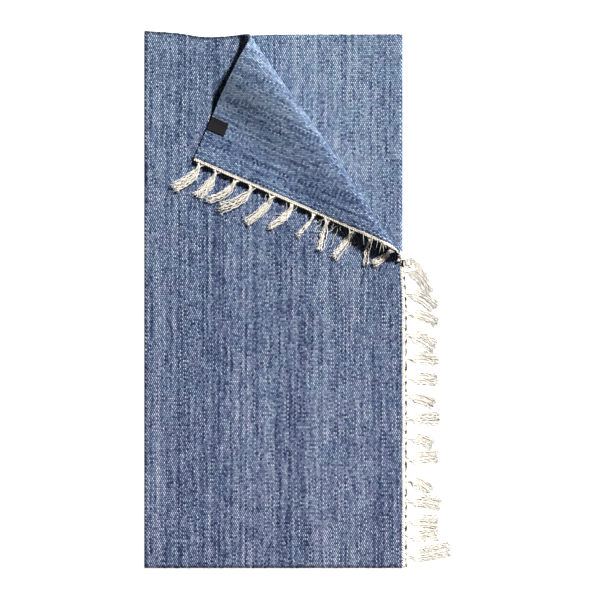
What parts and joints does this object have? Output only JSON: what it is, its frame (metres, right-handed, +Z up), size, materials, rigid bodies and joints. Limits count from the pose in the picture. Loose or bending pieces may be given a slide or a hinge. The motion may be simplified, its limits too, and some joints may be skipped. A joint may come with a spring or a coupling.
{
  "type": "folded flat-woven rug with fringe",
  "caption": "Hand-woven flat rug with knotted fringe, folded in a zigzag stack with one corner of the top layer turned back.",
  "frame": {"origin": "on the floor, under the middle of the folded stack (the fringe left out)", "axes": "+Z up from the floor; +Y along the rug's width, towards the end where the corner is turned back; +X towards the end whose fringe shows"},
  "size_m": [0.4603, 0.8017, 0.0588],
  "materials": {
    "weave": "heathered blue weft-faced plain weave, matt",
    "fringe": "undyed ivory cotton yarn, matt",
    "label": "dark woven tape, matt, bare"
  },
  "bodies": {
    "root": {"rug_cloth": "weave", "fringe_visible_end": "fringe", "fringe_under_end": "fringe", "label": "label"}
  },
  "joints": []
}
